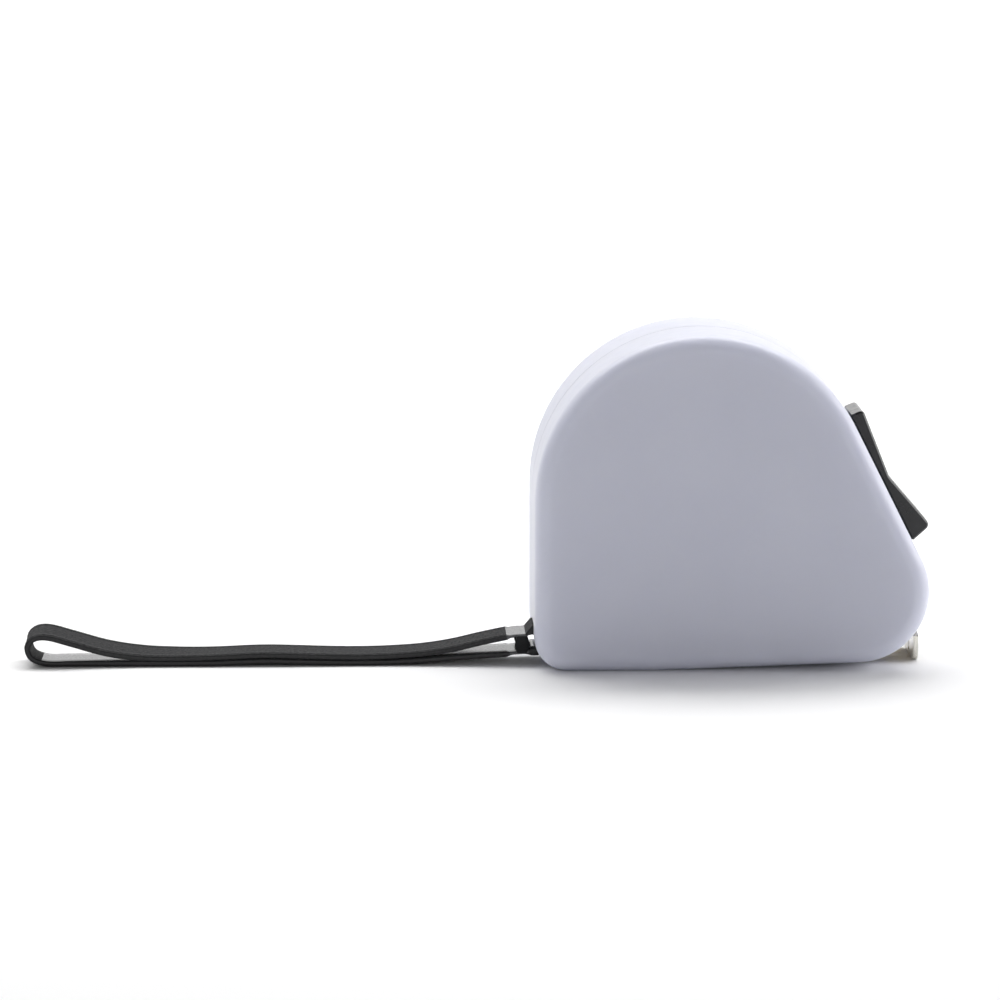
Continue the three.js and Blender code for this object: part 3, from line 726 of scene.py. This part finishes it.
def wrist_strap(grain, gloss, edge):
    """One closed band, thin at its necks and thick where it goes through the window."""
    line, section = strap_line(), strap_section()
    far_end = min(range(len(line)), key=lambda i: line[i][0].x)
    verts, along = [], [0]
    for i, (point, direction) in enumerate(line):
        upper = i < far_end
        outer, inner = strap_thickness(point.x, upper)
        out = Vector((direction.y, -direction.x))
        raised = smooth(point.x, NECK_FROM - 0.3, NECK_FROM - 0.7)
        twist = (UPPER_TWIST if upper else LOWER_TWIST) * smooth(point.x, *LOOP_TWIST_X)
        for y, share, height in section:
            reach = share * (outer if share > 0 else inner) + RAISED_LINE_HEIGHT * height * raised
            at = point + out * reach
            verts.append(place(at.x, STRAP_Y + y, at.y + twist * y / STRAP_HALF_WIDTH))
        along.append(along[-1] + (line[(i + 1) % len(line)][0] - point).length)
    across = [0]
    for (y0, share0, _), (y1, share1, _) in zip(section, section[1:] + section[:1]):
        across.append(across[-1] + math.hypot(y1 - y0, (share1 - share0) * STRAP_THICKNESS / 2))

    mesh = bpy.data.meshes.new("wrist_strap")
    faces = []
    n = len(section)
    for i in range(len(line)):
        for k in range(n):
            a, b = i * n, (i + 1) % len(line) * n
            faces.append((a + k, b + k, b + (k + 1) % n, a + (k + 1) % n))
    mesh.from_pydata([tuple(v) for v in verts], [], faces)
    uv = mesh.uv_layers.new(name="along_and_across")
    for face in mesh.polygons:
        i, k = divmod(face.index, n)
        u0, u1 = along[i : i + 2]
        v0, v1 = across[k : k + 2]
        for loop, corner in zip(face.loop_indices, [(u0, v0), (u1, v0), (u1, v1), (u0, v1)]):
            uv.data[loop].uv = corner
        shares = (section[k][1], section[(k + 1) % n][1])
        face.material_index = strap_finish(line[i][0].x, shares)

    strap = bpy.data.objects.new("wrist_strap_band", mesh)
    bpy.context.scene.collection.objects.link(strap)
    for finish in (grain, gloss, edge):
        mesh.materials.append(finish)
    facing = bmesh.new()
    facing.from_mesh(mesh)
    bmesh.ops.recalc_face_normals(facing, faces=facing.faces)
    facing.to_mesh(mesh)
    facing.free()
    shade(strap, 50)
    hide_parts("wrist_strap", "strap_knuckle")
    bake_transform(strap)


def strap_pin(plastic):
    """The pin between the strap's necks, with a six-sided head over their edges at each end."""
    x, z, radius = PIN
    reach = STRAP_HALF_WIDTH + 0.12
    thickness = 0.7
    corners = [(-0.93, 1.6), (-1.35, 0), (-0.9, -1.5), (0.8, -1.5), (1.35, 0), (0.93, 1.6)]
    pin = rod("strap_pin_hexagon", x, z, radius, STRAP_Y - reach - 0.2, STRAP_Y + reach + 0.2)
    heads = []
    for name, y in (("near", STRAP_Y - reach - thickness), ("far", STRAP_Y + reach)):
        head = prism(name, rounded(corners, 0.25, 4), (x, y, z), X, Z, (0, -thickness))
        heads.append(soften(head, 0.14, 3))
    carve(pin, heads, "UNION")
    pin.data.materials.append(plastic)
    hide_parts("strap_pin")
    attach(pin, "strap")


# ---------------------------------------------------------------- blade and hook

def hollow(y):
    """How far the blade's hollow has risen at y from its middle."""
    return BLADE_HOLLOW_RADIUS - math.sqrt(BLADE_HOLLOW_RADIUS ** 2 - y * y)


def blade(enamel):
    """The blade's straight stretch, hollow on top, with its rounded front corners."""
    start, end = BLADE_ENDS
    corner_x = end - BLADE_CORNER
    xs = [start + (corner_x - start) * i / 60 for i in range(61)]
    xs += [corner_x + BLADE_CORNER * math.sin(math.radians(t)) for t in (15, 30, 45, 60, 75, 88)]
    rows = []
    for x in xs:
        past = max(x - corner_x, 0)
        half = BLADE_HALF_WIDTH - BLADE_CORNER + math.sqrt(max(BLADE_CORNER ** 2 - past ** 2, 0))
        ys = [half * (i / 12 - 1) for i in range(25)]
        lower = [place(x, y, BLADE_Z + hollow(y)) for y in ys]
        upper = [place(x, y, BLADE_Z + hollow(y) + BLADE_THICKNESS) for y in reversed(ys)]
        rows.append(lower + upper)
    strip = mesh_object("blade_strip", *loft(rows))
    strip.data.materials.append(enamel)
    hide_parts("tape_blade")
    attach(strip, "blade")


def on_blade(x, y, lift):
    """A point above the blade's upper face."""
    return place(x, y, BLADE_Z + hollow(y) + BLADE_THICKNESS + lift)


SCALE_ZERO_X = HOOK_PLATE_X - HOOK_PLATE_THICKNESS / 2
INK_THICKNESS = 0.012


def scale_lines(black):
    """Millimetre lines along both of the blade's edges, longer at each fifth and tenth."""
    verts, faces = [], []
    for mm in range(2, 58):
        length, half = 3, 0.09
        if mm % 5 == 0:
            length = 4.4
        if mm % 10 == 0:
            length, half = 6.2, 0.13
        x = SCALE_ZERO_X - mm
        for side in (-1, 1):
            rows = []
            for i in range(5):
                y = side * (BLADE_HALF_WIDTH - 0.1 - length * i / 4)
                below = [on_blade(x - half, y, 0), on_blade(x + half, y, 0)]
                above = [on_blade(x + half, y, INK_THICKNESS), on_blade(x - half, y, INK_THICKNESS)]
                rows.append(below + above)
            more, quads = loft(rows)
            faces += [tuple(i + len(verts) for i in quad) for quad in quads]
            verts += more
    scale = mesh_object("blade_scale", verts, faces)
    scale.data.materials.append(black)
    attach(scale, "blade")


def scale_number(number, black):
    """A centimetre's number beside its line, upright with the hook at the left."""
    curve = bpy.data.curves.new(f"blade_number_{number}", "FONT")
    curve.body = str(number)
    curve.size = 5.2 * MM
    curve.align_x = "CENTER"
    curve.align_y = "CENTER"
    curve.extrude = INK_THICKNESS / 2 * MM
    curve.resolution_u = 6
    text = bpy.data.objects.new(curve.name, curve)
    bpy.context.scene.collection.objects.link(text)
    view = bpy.context.evaluated_depsgraph_get()
    mesh = bpy.data.meshes.new_from_object(text.evaluated_get(view))
    bpy.data.objects.remove(text)
    numeral = bpy.data.objects.new(f"blade_number_{number}", mesh)
    bpy.context.scene.collection.objects.link(numeral)
    beside = SCALE_ZERO_X - 10 * number + 2.6
    for vertex in mesh.vertices:
        across, up, out = vertex.co / MM
        vertex.co = on_blade(beside - across, -up, out + INK_THICKNESS / 2)
    mesh.materials.append(black)
    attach(numeral, "blade")


def hook_path():
    """Down the middle of the hook's sheet: along the tang, round the bend and down the plate.
    Each entry is (x, z, direction, thickness, half width, share of the blade's hollow)."""
    top = BLADE_Z + BLADE_THICKNESS + TANG_GAP + TANG_THICKNESS / 2
    path = []
    bend_x = HOOK_PLATE_X - HOOK_BEND_RADIUS
    for i in range(25):
        x = TANG_X + (bend_x - TANG_X) * i / 24
        short = max(1 - (x - TANG_X) / TANG_CORNER, 0)
        width = TANG_HALF_WIDTH - TANG_CORNER * (1 - math.sqrt(1 - short ** 2))
        path.append((x, top, (1, 0), TANG_THICKNESS, width, 1))
    low = top - HOOK_BEND_RADIUS
    for i in range(1, 9):
        share = i / 8
        turn = math.radians(90 * share)
        across, down = math.cos(turn), math.sin(turn)
        thickness = TANG_THICKNESS + (HOOK_PLATE_THICKNESS - TANG_THICKNESS) * share
        width = TANG_HALF_WIDTH + (HOOK_HALF_WIDTH - TANG_HALF_WIDTH) * share * share
        x, z = bend_x + HOOK_BEND_RADIUS * down, low + HOOK_BEND_RADIUS * across
        path.append((x, z, (across, -down), thickness, width, 1 - 0.75 * share))
    heights = [low * (1 - i / 14) for i in range(1, 11)]
    heights += [HOOK_CORNER * (1 - math.sin(math.radians(t))) for t in range(10, 100, 10)]
    heights = [z for z in heights if z < low - 0.05]
    for z in sorted(set(round(z, 4) for z in heights), reverse=True):
        drop = max(HOOK_CORNER - z, 0)
        width = HOOK_HALF_WIDTH - HOOK_CORNER + math.sqrt(max(HOOK_CORNER ** 2 - drop ** 2, 0.04))
        share = 0.25 * max(0, (z - low * 0.55) / (low * 0.45))
        path.append((HOOK_PLATE_X, z, (0, -1), HOOK_PLATE_THICKNESS, width, share))
    return path


def hook(steel_finish):
    """The end hook: one sheet bent down from a hollow tang, slotted for the rivets and for a nail."""
    rows = []
    for x, z, (dx, dz), thickness, half, share in hook_path():
        ys = [half * (i / 12 - 1) for i in range(25)]
        under, over = [], []
        for y in ys:
            rise = hollow(y) * share
            under.append(place(x + dz * thickness / 2, y, z + rise - dx * thickness / 2))
            over.append(place(x - dz * thickness / 2, y, z + rise + dx * thickness / 2))
        rows.append(under + over[::-1])
    sheet = mesh_object("hook_bent_sheet", *loft(rows))
    cutters = [prism("nail", rounded_rectangle(0.8, 1.05, 0.5), (66, 0, 1.95), Y, Z, (0, 4))]
    for i, x in enumerate(RIVET_XS):
        slot = rounded_rectangle(2.1, 1.2, 1.15)
        cutters.append(prism(f"slot_{i}", slot, (x, 0, 4.5), X, Y, (0, 4)))
    carve(sheet, cutters)
    soften(sheet, 0.14, 3, 50)
    sheet.data.materials.append(steel_finish)
    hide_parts("end_hook")
    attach(sheet, "hook")


def hook_rivets(brass):
    """Two domed rivets through the blade, with flat set heads below."""
    shank, set_radius, set_height = 0.9, 1.6, 0.5
    dome_radius, dome_height = 1.7, 0.55
    under = BLADE_Z - 0.05
    over = BLADE_Z + BLADE_THICKNESS + 2 * TANG_GAP + TANG_THICKNESS + 0.1
    corners = [
        (0, under - set_height),
        (set_radius - 0.4, under - set_height),
        (set_radius - 0.05, under - set_height + 0.1),
        (set_radius, under),
        (shank, under),
        (shank, over),
    ]
    for degrees in range(0, 90, 15):
        turn = math.radians(degrees)
        corners.append((dome_radius * math.cos(turn), over + dome_height * math.sin(turn)))
    corners.append((0, over + dome_height))
    for i, x in enumerate(RIVET_XS, 1):
        rivet = turned(f"hook_rivet_domed_{i}", (x, 0, 0), Z, corners)
        rivet.data.materials.append(brass)
        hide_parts(f"hook_rivet_{i}")
        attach(rivet, "blade")


# ---------------------------------------------------------------- screws and belt clip

def cross_screw(name, node, x, z, top, head_radius, tip, dome, body, finish):
    """A round-headed screw along Y, from its tip to its top, with a cross recess in its head."""
    shaft = SCREW_SHAFT_RADIUS
    neck = top - 1.2
    corners = [(0, tip), (shaft * 0.4, tip + 0.2), (shaft, tip + 1.6), (shaft, neck)]
    corners += [(head_radius, neck), (head_radius, top - dome - 0.1)]
    for degrees in range(10, 90, 16):
        turn = math.radians(degrees)
        corners.append((head_radius * math.cos(turn), top - dome + dome * math.sin(turn)))
    corners.append((0, top))
    screw = turned(name, (x, 0, z), Y, corners)
    wing = [(-1.05, 0.1), (-0.45, -0.9), (0.45, -0.9), (1.05, 0.1), (1.05, 1), (-1.05, 1)]
    wing_width = 0.4
    cutters = []
    for degrees in (45, 135):
        turn = math.radians(degrees)
        across = Vector((math.cos(turn), 0, math.sin(turn)))
        side = across.cross(Vector(Y)) * wing_width / 2
        start = (x - side.x, top - 0.05, z - side.z)
        cutters.append(prism(f"recess_{degrees}", wing, start, across, Y, (0, wing_width)))
    carve(screw, cutters)
    soften(screw, 0.06, 2, 50)
    screw.data.materials.append(finish)
    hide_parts(node)
    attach(screw, body)


# the belt clip's middle line from its foot down, as (distance from the foot's plane, z)
CLIP_ROUTE = [
    (0, 51.9),
    (0, 50),
    (0, 48),
    (0, 46),
    (0, 44.2),
    (0.25, 42.9),
    (2.2, 39.6),
    (3.5, 34),
    (3.6, 29),
    (2.8, 24),
    (1.6, 19),
    (0.5, 14.5),
    (0.7, 12),
    (2.6, 8.5),
]


def belt_clip(chrome):
    """One strip: flat foot under its screw, a tight bend out, a long bow back and a flared tip."""
    spacing, corner, taper, rib_height = 0.7, 2.2, 0.9, 0.45
    line = spline([(CLIP_Y + y, z) for y, z in CLIP_ROUTE], spacing)
    total = len(line) - 1
    rows = []
    for i, (point, direction) in enumerate(line):
        out = Vector((-direction.y, direction.x))
        t = i / total
        short = 1 - min(min(i, total - i) * spacing / corner, 1)
        width = CLIP_HALF_WIDTH - taper * smooth(t, 0.25, 0.9)
        width -= corner * (1 - math.sqrt(1 - short ** 2))
        rib = rib_height * smooth(t, 0.26, 0.4) * smooth(t, 0.86, 0.74)
        ys = [width * (k / 14 - 1) for k in range(29)]
        near, far = [], []
        for y in ys:
            lift = rib * smooth(abs(y), 2.6, 0.9)
            a = point + out * (lift + CLIP_THICKNESS / 2)
            b = point + out * (lift - CLIP_THICKNESS / 2)
            near.append(place(CROWN[0] + y, a.x, a.y))
            far.append(place(CROWN[0] + y, b.x, b.y))
        rows.append(near + far[::-1])
    clip = mesh_object("belt_clip_strip", *loft(rows), sharp=50)
    soften(clip, 0.16, 3, 55, 50)
    clip.data.materials.append(chrome)
    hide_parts("clip_base", "belt_clip")
    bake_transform(clip)


# ---------------------------------------------------------------- stage

def stage():
    """A pale floor, its surroundings and four soft lights."""
    side, front, back = 0.9, -1.2, 0.36
    corners = [(-side, front, 0), (side, front, 0), (side, back, 0), (-side, back, 0)]
    floor = mesh_object("floor", corners, [(0, 1, 2, 3)])
    pale = principled("floor_pale", (0.9, 0.9, 0.9), 0.75, Specular_IOR_Level=0.1)
    tint(pale, noise(pale, 0.6, 3), (0.89, 0.89, 0.89), (0.91, 0.91, 0.91))
    floor.data.materials.append(pale)
    studio()
    soft_light("overhead", (0, 0.37, 0.7), (0, 0, 0.02), (1.1, 0.4), 7)
    soft_light("left", (-0.5, 0.16, 0.4), (0, 0, 0.03), (0.34, 0.3), 0.6)
    soft_light("front", (-0.1, -1.4, 0.37), (0, 0, 0.03), (1.6, 0.72), 5.8)
    soft_light("right", (0.6, 0.1, 0.25), (0, 0, 0.03), (0.36, 0.34), 2.1)


def studio():
    """Surroundings that are dim on the camera's side and bright behind."""
    world = bpy.data.worlds.new("studio")
    bpy.context.scene.world = world
    world.use_nodes = True
    nodes, links = world.node_tree.nodes, world.node_tree.links
    where = nodes.new("ShaderNodeTexCoord")
    axes = nodes.new("ShaderNodeSeparateXYZ")
    behind = nodes.new("ShaderNodeMapRange")
    behind.inputs["From Min"].default_value = -1
    grey = nodes.new("ShaderNodeValToRGB")
    stops = grey.color_ramp.elements
    stops[0].color = (0.07, 0.07, 0.07, 1)
    stops[1].position = 0.9
    for position, brightness in ((0.3, 0.09), (0.5, 0.12), (0.7, 0.4)):
        stops.new(position).color = (brightness, brightness, brightness, 1)
    links.new(where.outputs["Generated"], axes.inputs["Vector"])
    links.new(axes.outputs["Y"], behind.inputs["Value"])
    links.new(behind.outputs["Result"], grey.inputs["Fac"])
    links.new(grey.outputs["Color"], nodes["Background"].inputs["Color"])
    nodes["Background"].inputs["Strength"].default_value = 1.15


def soft_light(name, location, target, size, power):
    """A rectangular light at a place in metres, turned to its target."""
    light = bpy.data.lights.new(name, "AREA")
    light.shape = "RECTANGLE"
    light.size, light.size_y = size
    light.energy = power
    lamp = bpy.data.objects.new(name, light)
    lamp.location = location
    lamp.rotation_euler = (Vector(target) - Vector(location)).to_track_quat("-Z", "Y").to_euler()
    bpy.context.scene.collection.objects.link(lamp)


def camera():
    """A long lens in front of the near side, looking a little down."""
    lens = bpy.data.cameras.new("camera")
    lens.lens = 171
    lens.sensor_width = 36
    eye = bpy.data.objects.new("camera", lens)
    bpy.context.scene.collection.objects.link(eye)
    azimuth, elevation = math.radians(-1.67), math.radians(8.79)
    back = Vector((
        math.sin(azimuth) * math.cos(elevation),
        -math.cos(azimuth) * math.cos(elevation),
        math.sin(elevation),
    ))
    eye.location = place(-29.9, -831.5, 156.8)
    eye.rotation_euler = back.to_track_quat("Z", "Y").to_euler()
    lens.clip_start, lens.clip_end = 0.01, 100
    bpy.context.scene.camera = eye


def finish_node(node, finish):
    """Gives a CAD solid that stays in view its material."""
    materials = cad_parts[node].data.materials
    materials.clear()
    materials.append(finish)


bpy.context.scene.view_settings.view_transform = "Standard"
camera()
stage()

CASE_PLASTIC = case_plastic()
BUTTON_PLASTIC = button_plastic()
INNER_PLASTIC = inner_plastic()
PAD_RUBBER = pad_rubber()
SPRING_STEEL = steel("spring_steel", (0.12, 0.13, 0.16), 0.35, (1, 0.05, 1))
HOOK_STEEL = steel("hook_steel", (0.74, 0.72, 0.66), 0.24, (1, 1, 0.06))
CLIP_CHROME = steel("clip_chrome", (0.72, 0.73, 0.75), 0.16, (1, 1, 0.04))
SCREW_STEEL = steel("screw_steel", (0.42, 0.43, 0.45), 0.3)
RIVET_BRASS = steel("rivet_brass", (0.6, 0.48, 0.26), 0.3)
BLADE_ENAMEL = blade_enamel()
COIL_ENAMEL = blade_enamel("coil_enamel", windings=True)

case_half("case_near_half", "near_shell", -1, CASE_PLASTIC)
case_half("case_far_half", "far_shell", 1, CASE_PLASTIC)
lock_button(BUTTON_PLASTIC)
wrist_strap(strap_grain(), strap_gloss(), strap_edge())
strap_pin(pin_plastic())
blade(BLADE_ENAMEL)
INK = ink()
scale_lines(INK)
for centimetre in range(2, 6):
    scale_number(centimetre, INK)
hook(HOOK_STEEL)
hook_rivets(RIVET_BRASS)
for screw_place, (screw_x, screw_z) in SCREWS.items():
    cross_screw(
        f"case_cross_screw_{screw_place}", f"case_screw_{screw_place}", screw_x, screw_z,
        SCREW_HEAD_Y, SCREW_HEAD_RADIUS, tip=-9, dome=0.35, body="case", finish=SCREW_STEEL,
    )
cross_screw(
    "clip_round_screw", "clip_screw", CROWN[0], CLIP_SCREW_Z,
    CLIP_Y + 1.9, 2.4, tip=11.8, dome=0.8, body="case", finish=SCREW_STEEL,
)
belt_clip(CLIP_CHROME)
for node in ("reel_drum", "reel_cap", "blade_guide", "lock_slider"):
    finish_node(node, INNER_PLASTIC)
for node in ("mouth_bumper", "brake_shoe"):
    finish_node(node, PAD_RUBBER)
for node in ("spring_arbor", "power_spring"):
    finish_node(node, SPRING_STEEL)
finish_node("tape_coil", COIL_ENAMEL)
